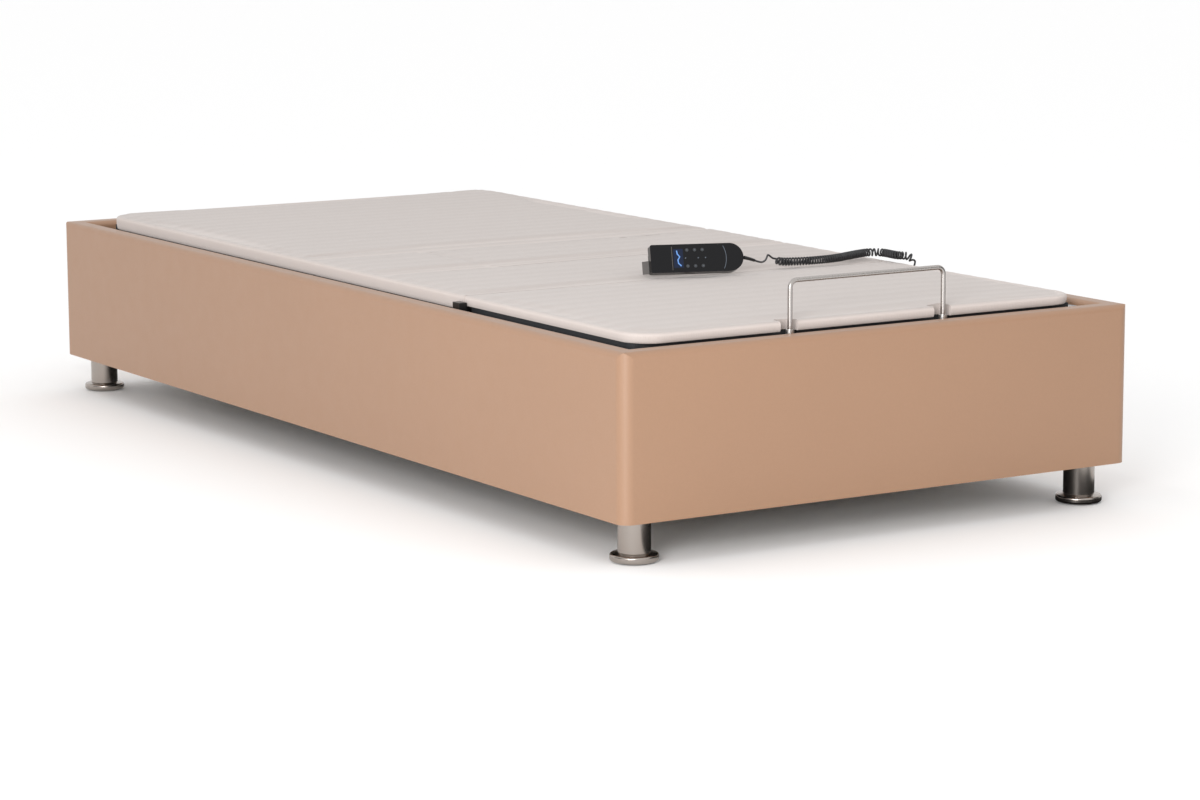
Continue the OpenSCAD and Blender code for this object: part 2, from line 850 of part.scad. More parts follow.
module key(column, row) {
    color("gray") place_handset()
        key_at(column, row, key_r, handset_t + key_rise - key_len, handset_t + key_rise);
}

side_cover(-1);  // side_cover_left
side_cover(1);  // side_cover_right
end_cover(1);  // head_cover
end_cover(-1);  // foot_cover
panel_boards();
corner_brackets();
frame_screws();
leg(-1, -1);  // leg_foot_left
leg(1, -1);  // leg_foot_right
leg(-1, 1);  // leg_head_left
leg(1, 1);  // leg_head_right
leg_glides();
frame_rail(-1);  // frame_rail_left
frame_rail(1);  // frame_rail_right
frame_cross_tubes();
seat_pad();
seat_board();
seat_brackets();
hinge_pins();
torque_bearings();
drive_housing();
drive_cover();
drive_motors();
control_box();
handset_lead_base();
back_pad();
back_board();
back_side_tubes();
back_cross_tubes();
torque_tube(back_hinge_y, back_lever_tilt);  // back_torque_tube
lift_arms(back_hinge_y, back_arm, 1);  // back_lift_arms
back_push_block();
thigh_pad();
thigh_board();
thigh_side_tubes();
handset_lead_thigh();
torque_tube(thigh_hinge_y, leg_lever_tilt);  // leg_torque_tube
lift_arms(thigh_hinge_y, leg_arm, -1);  // leg_lift_arms
leg_push_block();
calf_pad();
calf_board();
calf_side_tubes();
calf_cross_tubes();
knee_covers();
retainer_bar();
retainer_sleeves();
cord_socket();
handset_lead_calf();
curly_cord();
cord_tails();
handset_back();
handset_front();
handset_display();
handset_hook();
key(0, 1);  // key_back_up
key(0, -1);  // key_back_down
key(1, 1);  // key_legs_up
key(1, -1);  // key_legs_down
key(2, 1);  // key_both_up
key(2, -1);  // key_both_down
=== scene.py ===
"""The looks of the adjustable bed base, in metres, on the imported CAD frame.

+X runs across the width, +Y to the head end and +Z up. The upholstered box, the
steel parts and the handset's shells are CAD nodes with procedural materials. The
pads, the folds between them, the curly cord and the handset's small details are
made here and ride on the CAD's bodies.
"""
import json
from math import cos, pi, radians, sin, sqrt

import bmesh
import bpy
from mathutils import Matrix, Vector, kdtree, noise


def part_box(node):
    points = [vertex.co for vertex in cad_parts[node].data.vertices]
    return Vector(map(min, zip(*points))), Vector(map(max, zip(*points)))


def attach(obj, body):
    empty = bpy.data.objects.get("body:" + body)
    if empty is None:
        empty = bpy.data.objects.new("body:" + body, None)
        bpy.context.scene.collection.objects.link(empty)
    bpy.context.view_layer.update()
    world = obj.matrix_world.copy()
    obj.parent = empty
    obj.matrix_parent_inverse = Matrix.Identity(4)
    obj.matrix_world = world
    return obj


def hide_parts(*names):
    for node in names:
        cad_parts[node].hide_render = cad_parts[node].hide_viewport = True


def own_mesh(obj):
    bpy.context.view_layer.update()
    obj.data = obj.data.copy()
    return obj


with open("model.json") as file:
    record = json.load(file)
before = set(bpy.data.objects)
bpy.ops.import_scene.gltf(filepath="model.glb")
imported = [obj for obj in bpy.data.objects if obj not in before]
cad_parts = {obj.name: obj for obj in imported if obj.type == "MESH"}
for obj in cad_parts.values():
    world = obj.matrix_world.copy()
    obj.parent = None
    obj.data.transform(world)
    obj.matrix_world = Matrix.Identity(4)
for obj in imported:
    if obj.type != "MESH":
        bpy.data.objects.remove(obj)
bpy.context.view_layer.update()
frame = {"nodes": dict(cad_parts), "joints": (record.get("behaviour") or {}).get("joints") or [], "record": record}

nodes = frame["nodes"]
record = frame["record"]


def add_object(name, data):
    piece = bpy.data.objects.new(name, data)
    bpy.context.scene.collection.objects.link(piece)
    return piece


# ---- Camera ----


def make_camera(place, yaw, pitch, roll, lens, shift):
    """A camera that looks yaw degrees from +Y towards +X, and pitch degrees down."""
    y, p = radians(yaw), radians(pitch)
    look = Vector((sin(y) * cos(p), cos(y) * cos(p), -sin(p)))
    data = bpy.data.cameras.new("camera")
    data.lens = lens
    data.shift_x, data.shift_y = shift
    data.clip_end = 60
    camera = add_object("camera", data)
    turn = look.to_track_quat("-Z", "Y").to_matrix() @ Matrix.Rotation(radians(roll), 3, "Z")
    camera.matrix_world = Matrix.Translation(place) @ turn.to_4x4()
    bpy.context.scene.camera = camera


make_camera(
    place=(-3.3326, -5.5240, 1.1472), yaw=31.98, pitch=9.42, roll=-0.19, lens=107.22, shift=(-0.001, -0.0012)
)
bpy.context.scene.view_settings.view_transform = "Standard"


# ---- Curves and cord ----

CORD_D = 0.0034
CURL_R = 0.0075 - CORD_D / 2
CURL_PITCH = 0.0052
TURN_POINTS = 14
CURL_END = 4 * CURL_PITCH
WIRE_STEP = 0.002
# The sharpest curvature, per metre, that still opens the coil's turns further.
TIGHTEST_BEND = 70

# The same points as in the CAD, in metres.
HANDSET_TAIL = [
    (0.101, -0.4885, 0.3815), (0.112, -0.489, 0.3785), (0.123, -0.488, 0.375),
    (0.134, -0.485, 0.3715), (0.146, -0.479, 0.3695), (0.157, -0.472, 0.371),
    (0.165, -0.465, 0.3745), (0.170, -0.4605, 0.378), (0.174, -0.459, 0.377),
    (0.180, -0.458, 0.373),
]
CURL_ROUTE = [
    (0.180, -0.458, 0.373), (0.186, -0.457, 0.369), (0.193, -0.456, 0.366),
    (0.204, -0.456, 0.3638), (0.222, -0.459, 0.363), (0.252, -0.466, 0.363),
    (0.290, -0.466, 0.363), (0.320, -0.460, 0.363), (0.350, -0.448, 0.363),
    (0.380, -0.436, 0.363), (0.402, -0.430, 0.363), (0.416, -0.431, 0.363),
    (0.426, -0.439, 0.363), (0.429, -0.452, 0.363), (0.428, -0.470, 0.363),
    (0.427, -0.488, 0.363), (0.430, -0.501, 0.3635), (0.436, -0.510, 0.3625),
    (0.4415, -0.515, 0.3575), (0.4435, -0.517, 0.350), (0.4435, -0.517, 0.342),
]
SOCKET_TAIL = [
    (0.4435, -0.517, 0.342), (0.4435, -0.517, 0.337), (0.4415, -0.517, 0.332),
    (0.437, -0.517, 0.3295), (0.433, -0.517, 0.329), (0.429, -0.517, 0.329),
]


def through(points, step):
    """A smooth line through the points, with a point about every step metres."""
    p = [Vector(v) for v in points]
    p = [2 * p[0] - p[1], *p, 2 * p[-1] - p[-2]]
    line = []
    for a, b, c, d in zip(p, p[1:], p[2:], p[3:]):
        count = max(2, round((c - b).length / step))
        for i in range(count):
            t = i / count
            line.append(
                0.5 * (2 * b + (c - a) * t + (2 * a - 5 * b + 4 * c - d) * t**2
                       + (3 * b - a - 3 * c + d) * t**3)
            )
    line.append(p[-2])
    return line


def length_of(line):
    return sum((b - a).length for a, b in zip(line, line[1:]))


def smoothstep(low, high, x):
    t = min(1, max(0, (x - low) / (high - low)))
    return t * t * (3 - 2 * t)


def curl(axis_line):
    """The wire's line round the curl's axis. Where the axis bends, the turns open so that they clear
    each other on the inside."""
    line = []
    total = length_of(axis_line)
    side = axis_line[1] - axis_line[0]
    side = side.cross(Vector((0, 1, 0))).normalized()
    angle = done = 0
    for a, b, c in zip(axis_line, axis_line[1:], axis_line[2:]):
        along = (c - a).normalized()
        side = (side - side.dot(along) * along).normalized()
        up = along.cross(side)
        step = (b - a).length
        bend = min(TIGHTEST_BEND, ((c - b).normalized() - (b - a).normalized()).length / step)
        pitch = CURL_PITCH / (1 - CURL_R * bend)
        done += step
        # At both ends the coil opens out: its turns get smaller, and slow down sooner than that, which
        # keeps the wire from kinking.
        grown = smoothstep(0, CURL_END, min(done, total - done))
        angle += 2 * pi * step / pitch * grown**2
        line.append(b + CURL_R * grown * (cos(angle) * side + sin(angle) * up))
    return line


def evaluated(piece):
    """The piece's mesh with its modifiers on, as a new mesh."""
    graph = bpy.context.evaluated_depsgraph_get()
    return bpy.data.meshes.new_from_object(piece.evaluated_get(graph))


def tube(name, points, radius, sides=2, shares=None):
    """A round mesh tube along the points. shares gives each point's share of the radius."""
    curve = bpy.data.curves.new(name, "CURVE")
    curve.dimensions = "3D"
    curve.bevel_depth = radius
    curve.bevel_resolution = sides
    curve.use_fill_caps = True
    spline = curve.splines.new("POLY")
    spline.points.add(len(points) - 1)
    for i, place in enumerate(points):
        spline.points[i].co = (*place, 1)
        spline.points[i].radius = shares[i] if shares else 1
    source = add_object(name + "_curve", curve)
    data = evaluated(source)
    bpy.data.objects.remove(source)
    data.shade_smooth()
    return add_object(name, data)


def make_cord():
    wire = through(HANDSET_TAIL, WIRE_STEP)
    wire += curl(through(CURL_ROUTE, CURL_PITCH / TURN_POINTS))
    wire += through(SOCKET_TAIL, WIRE_STEP)
    cord = tube("curly_cord_wire", wire, CORD_D / 2)
    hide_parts("curly_cord", "cord_tails")
    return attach(cord, "calf_section")


cord = make_cord()


# ---- Procedural materials ----


class Shader:
    """A Principled material and the few node chains that this scene's materials share."""

    def __init__(self, name, color, roughness, metallic=0.0, **sockets):
        self.material = bpy.data.materials.new(name)
        self.material.use_nodes = True
        self.tree = self.material.node_tree
        self.bsdf = self.tree.nodes["Principled BSDF"]
        self.color = color
        self.set(self.bsdf, **{"Base Color": (*color, 1), "Roughness": roughness, "Metallic": metallic})
        self.set(self.bsdf, **sockets)
        self.coordinates = self.tree.nodes.new("ShaderNodeTexCoord").outputs["Object"]
        self.normal = None

    def set(self, node, **values):
        for key, value in values.items():
            node.inputs[key].default_value = value

    def add(self, kind, **values):
        node = self.tree.nodes.new(kind)
        self.set(node, **values)
        return node

    def link(self, a, b):
        self.tree.links.new(a, b)

    def stretched(self, scale):
        mapping = self.add("ShaderNodeMapping", Scale=scale)
        self.link(self.coordinates, mapping.inputs["Vector"])
        return mapping.outputs["Vector"]

    def noise(self, scale, detail=3.0, rough=0.5, stretch=(1, 1, 1)):
        node = self.add("ShaderNodeTexNoise", Scale=scale, Detail=detail, Roughness=rough)
        self.link(self.stretched(stretch), node.inputs["Vector"])
        return node.outputs["Fac"]

    def cells(self, scale):
        node = self.add("ShaderNodeTexVoronoi", Scale=scale)
        self.link(self.stretched((1, 1, 1)), node.inputs["Vector"])
        return node.outputs["Distance"]

    def bands(self, axis, pitch, distortion=0.0):
        """0 to 1 and back, once every pitch metres along an axis."""
        node = self.add("ShaderNodeTexWave", Scale=1.0, Distortion=distortion)
        node.wave_type = "BANDS"
        node.bands_direction = axis
        # A wave texture of scale 1 has one band every pi / 10 metres.
        self.link(self.stretched((pi / 10 / pitch,) * 3), node.inputs["Vector"])
        return node.outputs["Fac"]

    def map(self, fac, low, high, start=0.0, end=1.0):
        node = self.add(
            "ShaderNodeMapRange", **{"From Min": start, "From Max": end, "To Min": low, "To Max": high}
        )
        self.link(fac, node.inputs["Value"])
        return node.outputs["Result"]

    def combine(self, operation, a, b):
        node = self.tree.nodes.new("ShaderNodeMath")
        node.operation = operation
        for socket, value in zip(node.inputs, (a, b)):
            if isinstance(value, (int, float)):
                socket.default_value = value
            else:
                self.link(value, socket)
        return node.outputs[0]

    def tint(self, fac, amount):
        """Scales the base colour by 1 - amount where fac is 0, up to 1 + amount where it is 1."""
        base = self.bsdf.inputs["Base Color"]
        scaled = self.tree.nodes.new("ShaderNodeVectorMath")
        scaled.operation = "SCALE"
        if base.is_linked:
            self.link(base.links[0].from_socket, scaled.inputs[0])
        else:
            scaled.inputs[0].default_value = self.color
        self.link(self.map(fac, 1 - amount, 1 + amount), scaled.inputs["Scale"])
        self.link(scaled.outputs[0], base)

    def height(self):
        """The height above the floor at rest."""
        split = self.tree.nodes.new("ShaderNodeSeparateXYZ")
        self.link(self.coordinates, split.inputs[0])
        return split.outputs["Z"]

    def turned(self, strength):
        """Stretches reflections along Z, as the fine rings of a turned surface do."""
        self.set(self.bsdf, Anisotropic=strength)
        tangent = self.tree.nodes.new("ShaderNodeTangent")
        tangent.direction_type = "RADIAL"
        tangent.axis = "Z"
        self.link(tangent.outputs[0], self.bsdf.inputs["Tangent"])

    def roughen(self, fac, low, high):
        self.link(self.map(fac, low, high), self.bsdf.inputs["Roughness"])

    def bump(self, height, distance, strength=1.0):
        node = self.add("ShaderNodeBump", Strength=strength, Distance=distance)
        self.link(height, node.inputs["Height"])
        if self.normal is not None:
            self.link(self.normal, node.inputs["Normal"])
        self.normal = node.outputs["Normal"]
        self.link(self.normal, self.bsdf.inputs["Normal"])


def leather(name, color):
    """Smooth coated leather: fine pebbled grain, slight sheen, faint cloudiness."""
    s = Shader(name, color, 0.45, **{"Specular IOR Level": 0.5, "Coat Weight": 0.25, "Coat Roughness": 0.3})
    s.tint(s.noise(3.0, 4), 0.035)
    s.tint(s.noise(260.0, 2), 0.03)
    s.roughen(s.noise(30.0, 4), 0.42, 0.56)
    s.bump(s.noise(5.0, 2), 0.002, 0.25)
    s.bump(s.cells(620.0), 0.00018, 0.5)
    s.bump(s.noise(1500.0, 2), 0.00008, 0.5)
    return s.material


def pad_fabric(name, color):
    """Pale knitted cover: soft cross ribs, a fine weave and a little fuzz. The ribs also get faint colour bands of
    painted shade, and the sides are painted lighter than the top as painted light.
    """
    s = Shader(name, color, 0.9, **{"Specular IOR Level": 0.2, "Sheen Weight": 0.25, "Sheen Roughness": 0.5})
    top_vs_painted_lit_sides = s.map(s.height(), 0.0, 1.0, PAD_TOP - PAINTED_SIDE_LIGHT_FULL, PAD_TOP - PAINTED_SIDE_LIGHT_NONE)
    # Painted shade: faint colour bands that follow the ribs, on the top only.
    s.tint(s.combine("MULTIPLY", top_vs_painted_lit_sides, s.bands("Y", RIB_PITCH, 0.15)), 0.02)
    # Painted light: the cover's sides are painted lighter than its top, and the top a little darker.
    s.tint(s.combine("SUBTRACT", 1.0, top_vs_painted_lit_sides), 0.12)
    s.tint(s.noise(140.0, 3, 0.7, (1, 3, 1)), 0.035)
    s.tint(s.noise(2.5, 3), 0.015)
    s.bump(s.bands("Y", 0.0024, 0.5), 0.0004, 0.35)
    s.bump(s.bands("X", 0.0031, 0.8), 0.0004, 0.25)
    s.bump(s.noise(900.0, 2), 0.0003, 0.35)
    return s.material


def brushed(name, color, roughness, stretch):
    """Metal with fine brushing along one direction."""
    s = Shader(name, color, roughness, 1.0)
    lines = s.noise(60.0, 3, 0.6, stretch)
    s.tint(lines, 0.06)
    s.roughen(lines, roughness - 0.06, roughness + 0.08)
    s.bump(lines, 0.00002, 0.4)
    return s.material


def turned_steel(name, color):
    """Polished turned steel, with fine rings round its axis."""
    s = Shader(name, color, 0.2, 1.0)
    rings = s.noise(50.0, 3, 0.6, (1, 1, 40))
    s.tint(rings, 0.08)
    s.roughen(rings, 0.17, 0.26)
    s.turned(0.7)
    return s.material


def zinc(name, color):
    """Zinc-plated steel with a faint spangle."""
    s = Shader(name, color, 0.34, 1.0)
    s.tint(s.cells(90.0), 0.08)
    s.roughen(s.noise(60.0, 4), 0.26, 0.42)
    s.bump(s.noise(420.0, 2), 0.00003, 0.4)
    return s.material


def powder_coat(name, color):
    """Powder coat with a light orange peel."""
    s = Shader(name, color, 0.42, 0.35, **{"Coat Weight": 0.15, "Coat Roughness": 0.3})
    s.tint(s.noise(6.0, 3), 0.05)
    s.roughen(s.noise(90.0, 3), 0.36, 0.5)
    s.bump(s.noise(700.0, 2), 0.00008, 0.5)
    return s.material


def plywood(name, color):
    """Birch plywood: long grain on the faces and darker plies at the edges."""
    s = Shader(name, color, 0.62, **{"Specular IOR Level": 0.3})
    s.tint(s.noise(14.0, 5, 0.6, (12, 1, 1)), 0.12)
    s.tint(s.bands("Z", 0.003, 0.3), 0.1)
    s.bump(s.noise(60.0, 4, 0.6, (14, 1, 1)), 0.0002, 0.4)
    return s.material


def moulded(name, color, roughness):
    """Moulded plastic with a spark-eroded texture."""
    s = Shader(name, color, roughness, **{"Specular IOR Level": 0.45})
    s.tint(s.noise(40.0, 3), 0.08)
    s.roughen(s.noise(120.0, 3), roughness - 0.06, roughness + 0.08)
    s.bump(s.noise(1600.0, 2), 0.00004, 0.5)
    return s.material


def gloss_black(name, color):
    """Polished plastic with faint wiping marks."""
    s = Shader(name, color, 0.16, **{"Specular IOR Level": 0.22})
    s.roughen(s.noise(50.0, 5, 0.7, (1, 6, 1)), 0.06, 0.18)
    s.bump(s.noise(22.0, 2), 0.00006, 0.2)
    return s.material


def felt(name, color):
    s = Shader(name, color, 0.95, **{"Sheen Weight": 0.4})
    s.tint(s.noise(300.0, 4), 0.2)
    s.bump(s.noise(800.0, 3), 0.0004, 0.7)
    return s.material


def display_window(name, color):
    """A lit display behind a smoked window."""
    s = Shader(name, color, 0.14, **{
        "Emission Color": (*color, 1), "Emission Strength": 0.1, "Specular IOR Level": 0.25,
    })
    s.tint(s.bands("Z", 0.0006), 0.15)
    s.roughen(s.noise(60.0, 3), 0.08, 0.16)
    return s.material


def glowing(name, color, strength):
    """A mark that glows: the display's lit glyph, and also printed marks given a faint painted glow."""
    s = Shader(name, color, 0.35, **{"Emission Color": (*color, 1), "Emission Strength": strength})
    s.tint(s.noise(900.0, 2), 0.12)
    return s.material


RIB_PITCH = 0.0465
PAD_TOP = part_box("seat_pad")[1][2]
# How far below the top the painted light that makes the cover's sides lighter than its top is full, and where it
# begins.
PAINTED_SIDE_LIGHT_FULL, PAINTED_SIDE_LIGHT_NONE = 0.0075, 0.0035

COLORS = {m["slot"]: tuple(m["base_color"][:3]) for m in record["materials"]}
MATERIALS = {
    "leather_tan": leather("leather_tan", (0.330, 0.188, 0.112)),
    "pad_fabric": pad_fabric("pad_fabric", (0.545, 0.485, 0.455)),
    "board_wood": plywood("board_wood", COLORS["board_wood"]),
    "board_black": plywood("board_black", (0.03, 0.032, 0.036)),
    "zinc_steel": zinc("zinc_steel", COLORS["zinc_steel"]),
    "frame_steel": powder_coat("frame_steel", COLORS["frame_steel"]),
    "arm_steel": powder_coat("arm_steel", COLORS["arm_steel"]),
    "leg_steel": turned_steel("leg_steel", (0.38, 0.34, 0.31)),
    "glide_felt": felt("glide_felt", COLORS["glide_felt"]),
    "bearing_nylon": moulded("bearing_nylon", COLORS["bearing_nylon"], 0.45),
    "drive_plastic": moulded("drive_plastic", COLORS["drive_plastic"], 0.5),
    "motor_metal": powder_coat("motor_metal", COLORS["motor_metal"]),
    "black_gloss": gloss_black("black_gloss", (0.006, 0.006, 0.007)),
    "black_plastic": moulded("black_plastic", (0.008, 0.008, 0.008), 0.3),
    "cord_black": moulded("cord_black", COLORS["cord_black"], 0.4),
    "display": display_window("display", (0.006, 0.012, 0.035)),
    "hook_grey": moulded("hook_grey", COLORS["hook_grey"], 0.45),
    "key_grey": moulded("key_grey", (0.035, 0.038, 0.042), 0.35),
}
# Printed marks, given a faint glow of painted light.
PAINTED_GLOW_PRINT = glowing("mark_print", (0.10, 0.12, 0.15), 0.02)
GLYPH = glowing("display_glyph", (0.10, 0.24, 0.55), 0.3)
# The retainer bar's brushed steel has a darker base colour: painted shade for the dark that the bar reflects.
BAR_STEEL = brushed("bar_steel", (0.46, 0.43, 0.41), 0.26, (30, 1, 1))


def paint(piece, material):
    piece.data.materials.clear()
    piece.data.materials.append(material)
    return piece


def add_bevel(piece, width):
    bevel = piece.modifiers.new("edges", "BEVEL")
    bevel.width = width
    bevel.segments = 2
    bevel.limit_method = "ANGLE"
    bevel.angle_limit = radians(40)
    bevel.harden_normals = False


for part in record["subparts"]:
    paint(nodes[part["node"]], MATERIALS[part["material_slot"]])
# The retainer bar takes the darker steel, painted shade for the dark it reflects.
paint(nodes["retainer_bar"], BAR_STEEL)
paint(cord, MATERIALS["cord_black"])

EDGE_WIDTHS = {
    "handset_front": 0.0012, "handset_back": 0.0012, "handset_hook": 0.0006, "knee_covers": 0.002,
    "cord_socket": 0.0012, "retainer_sleeves": 0.0006, "control_box": 0.002, "drive_housing": 0.002,
    "drive_cover": 0.002, "corner_brackets": 0.0006, "seat_brackets": 0.0008,
    "frame_rail_left": 0.001, "frame_rail_right": 0.001,
}
for name, width in EDGE_WIDTHS.items():
    add_bevel(nodes[name], width)


# ---- Pads ----

low, high = (Vector(c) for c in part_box("back_pad"))
PAD_HALF_W = high.x
PAD_HEAD_Y = high.y
PAD_FOOT_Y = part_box("calf_pad")[0][1]
PAD_Z0, PAD_Z1 = low.z, high.z
PAD_CORNER_R = 0.050
EDGE_R = 0.011
LOW_EDGE_R = 0.003
# The cover of all sections but the calf wraps down over the edge of its board.
SKIRT_H = 0.008
SKIRT_T = 0.0065
SKIRT_CLEAR = 0.012
RIB_DEPTH = 0.0009
PAD_INSET = 0.0004
EDGE_ROWS = 6
PAD_STEP = 0.008
# Across a pad, the points are this share of the half width apart.
ACROSS_STEP = 0.02
# The rows lie close together over this length, at an end that meets another pad.
JOINED_FINE = 0.004
# The pads start this much below their full height, and the cloth simulation swells them.
PAD_SLACK = 0.0022
WAVE_DEPTH, RIPPLE_DEPTH = 0.0006, 0.0005
FAR_SINK, FAR_SINK_X = 0.003, 0.20
SEAM_DEPTH, SEAM_W = 0.0034, 0.012
# The seat cover's creases: one along each side, and a short slanting one beside the near one.
NEAR_CREASE_X, FAR_CREASE_X = -0.20, 0.205
NEAR_CREASE_DEPTH, FAR_CREASE_DEPTH, SLANT_CREASE_DEPTH = 0.0030, 0.0010, 0.0014
SLANT_CREASE_X, SLANT_CREASE_Y = -0.17, -0.10
CREASE_MID_Y = -0.02
CREASE_W, SLANT_CREASE_W = 0.010, 0.008


def joint(name):
    return next(j for j in frame["joints"] if j["name"] == name)


BACK_Y = joint("back_section_hinge")["pos_m"][1]
THIGH_Y = joint("thigh_section_hinge")["pos_m"][1]
KNEE_Y = joint("calf_section_hinge")["pos_m"][1]


def outline_distance(x, y):
    """How far a point is inside the padded surface's rounded outline."""
    dx = PAD_HALF_W - abs(x)
    dy = min(PAD_HEAD_Y - y, y - PAD_FOOT_Y)
    if dx < PAD_CORNER_R and dy < PAD_CORNER_R:
        return PAD_CORNER_R - sqrt((PAD_CORNER_R - dx) ** 2 + (PAD_CORNER_R - dy) ** 2)
    return min(dx, dy)


def half_width(y):
    dy = min(PAD_HEAD_Y - y, y - PAD_FOOT_Y)
    if dy >= PAD_CORNER_R:
        return PAD_HALF_W
    return PAD_HALF_W - PAD_CORNER_R + sqrt(max(0, PAD_CORNER_R**2 - (PAD_CORNER_R - dy) ** 2))


def crease(distance, width):
    return 1 - smoothstep(0, width, abs(distance))


def sag(x, y):
    """How far the cover lies below the pad's nominal top: ribs, slack, seams and creases."""
    rib = RIB_DEPTH * 0.5 * (1 - cos(2 * pi * y / RIB_PITCH))
    slack = PAD_SLACK + WAVE_DEPTH * (1 + noise.noise(Vector((3.1 * x, 5.3 * y, 0.4))))
    slack += RIPPLE_DEPTH * (1 + noise.noise(Vector((9 * x, 17 * y, 2.7))))
    far_side = FAR_SINK * smoothstep(FAR_SINK_X, PAD_HALF_W, x) * smoothstep(BACK_Y, KNEE_Y, y)
    seams = sum(SEAM_DEPTH * crease(y - at, SEAM_W) for at in (BACK_Y, THIGH_Y))
    off_mid = abs(y - CREASE_MID_Y)
    near = crease(x - NEAR_CREASE_X + 0.02 * (y - THIGH_Y), CREASE_W) * smoothstep(0.16, 0.10, off_mid)
    slant = crease(x - SLANT_CREASE_X + 0.6 * (y - SLANT_CREASE_Y), SLANT_CREASE_W)
    slant *= crease(y - SLANT_CREASE_Y, 0.035)
    far = crease(x - FAR_CREASE_X, CREASE_W) * smoothstep(0.14, 0.08, off_mid)
    creases = NEAR_CREASE_DEPTH * near + SLANT_CREASE_DEPTH * slant + FAR_CREASE_DEPTH * far
    return rib + slack + far_side + seams + creases


def edge_steps(span, fine, coarse):
    """Distances from 0 to span: close together over the rounded edge at 0, then about coarse apart."""
    near = [fine * (1 - cos(pi / 2 * i / EDGE_ROWS)) for i in range(EDGE_ROWS)]
    rest = max(1, round((span - fine) / coarse))
    return near + [fine + (span - fine) * i / rest for i in range(rest + 1)]


def rows_between(y0, y1, free0, free1):
    """Shares from 0 to 1 along a pad, closer together towards both ends."""
    half = (y1 - y0) / 2
    start, end = (edge_steps(half, EDGE_R if free else JOINED_FINE, PAD_STEP) for free in (free0, free1))
    steps = start + [2 * half - d for d in reversed(end[:-1])]
    return [d / (2 * half) for d in steps]


def skirt_drop(x, y):
    """How far the cover hangs below the pad's under side, at its outline."""
    if outline_distance(x, y) > SKIRT_T:
        return 0
    return SKIRT_H * smoothstep(KNEE_Y, KNEE_Y + SKIRT_CLEAR, y - SKIRT_CLEAR)


def make_pad(name, low_ends, top_ends, free=(False, False)):
    """A pad as a loft of closed loops from end to end. low_ends and top_ends are its two ends' Y at the
    under side and at the top, so that the ends may slope."""
    mesh = bmesh.new()
    loops = []
    mid_z, half_t = (PAD_Z0 + PAD_Z1) / 2, (PAD_Z1 - PAD_Z0) / 2 - PAD_INSET
    across = edge_steps(1.0, ACROSS_STEP, ACROSS_STEP)
    shares = [d - 1 for d in across] + [1 - d for d in reversed(across[:-1])]
    for share in rows_between(low_ends[0], top_ends[1], *free):
        loop = []
        for side in (1, -1):
            ends = top_ends if side > 0 else low_ends
            y = ends[0] + (ends[1] - ends[0]) * share
            width = half_width(y)
            row = shares if side > 0 else shares[-2:0:-1]
            for s in row:
                # The last points of a row lie close together, over the rounded edge.
                x = s * width
                d = max(0, outline_distance(x, y))
                edge_r = EDGE_R if side > 0 else LOW_EDGE_R
                rise = half_t * sqrt(max(0, 1 - max(0, 1 - d / edge_r) ** 2))
                z = mid_z + side * rise
                if side > 0:
                    z -= sag(x, y) * min(1, d / EDGE_R)
                else:
                    z -= skirt_drop(x, y) * rise / half_t
                middle_y = y
                if side > 0 and rise < half_t:
                    low_y = low_ends[0] + (low_ends[1] - low_ends[0]) * share
                    t = 0.5 + 0.5 * rise / half_t
                    middle_y = low_y + (y - low_y) * t
                elif side < 0 and rise < half_t:
                    top_y = top_ends[0] + (top_ends[1] - top_ends[0]) * share
                    t = 0.5 - 0.5 * rise / half_t
                    middle_y = y + (top_y - y) * t
                loop.append(mesh.verts.new((x, middle_y, z)))
        loops.append(loop)
    for a, b in zip(loops, loops[1:]):
        for i in range(len(a)):
            j = (i + 1) % len(a)
            mesh.faces.new((a[i], a[j], b[j], b[i]))
    for loop in (loops[0][::-1], loops[-1]):
        half = len(loop) // 2
        for i in range(half - 1):
            top = [loop[i], loop[i + 1]]
            bottom = [loop[-i - 1], loop[-i]] if i else [loop[-1], loop[0]]
            corners = list(dict.fromkeys([*top, bottom[0], bottom[1]]))
            if len(corners) > 2:
                mesh.faces.new(corners)
    bmesh.ops.remove_doubles(mesh, verts=mesh.verts, dist=1e-6)
    bmesh.ops.recalc_face_normals(mesh, faces=mesh.faces)
    data = bpy.data.meshes.new(name)
    mesh.to_mesh(data)
    mesh.free()
    data.shade_smooth()
    piece = add_object(name, data)
    paint(piece, MATERIALS["pad_fabric"])
    return piece


def slanted(node):
    """A CAD pad's ends, as (low_ends, top_ends), read from its own vertices."""
    ends = {}
    for z in (PAD_Z0, PAD_Z1):
        ys = [v.co.y for v in nodes[node].data.vertices if abs(v.co.z - z) < 1e-4]
        ends[z] = (min(ys), max(ys))
    return ends[PAD_Z0], ends[PAD_Z1]


CLOTH_VOXEL = 0.009
CLOTH_FRAMES = 20
CLOTH_CAP = 0.0035
CLOTH_END = 0.025
CLOTH_PRESSURE = 4
CLOTH_SHRINK = -0.012
HELD_H = 0.006
# Each of the pad's points follows this many of the copy's, and this distance evens out their weights.
FOLLOWED = 8
FOLLOW_EVEN = 0.004
NOTCH_W, NOTCH_D, NOTCH_R = 0.034, 0.026, 0.008
NOTCH_OVER = 0.01
CORNER_POINTS = 6
POST_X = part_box("retainer_bar")[1][0] - 0.004


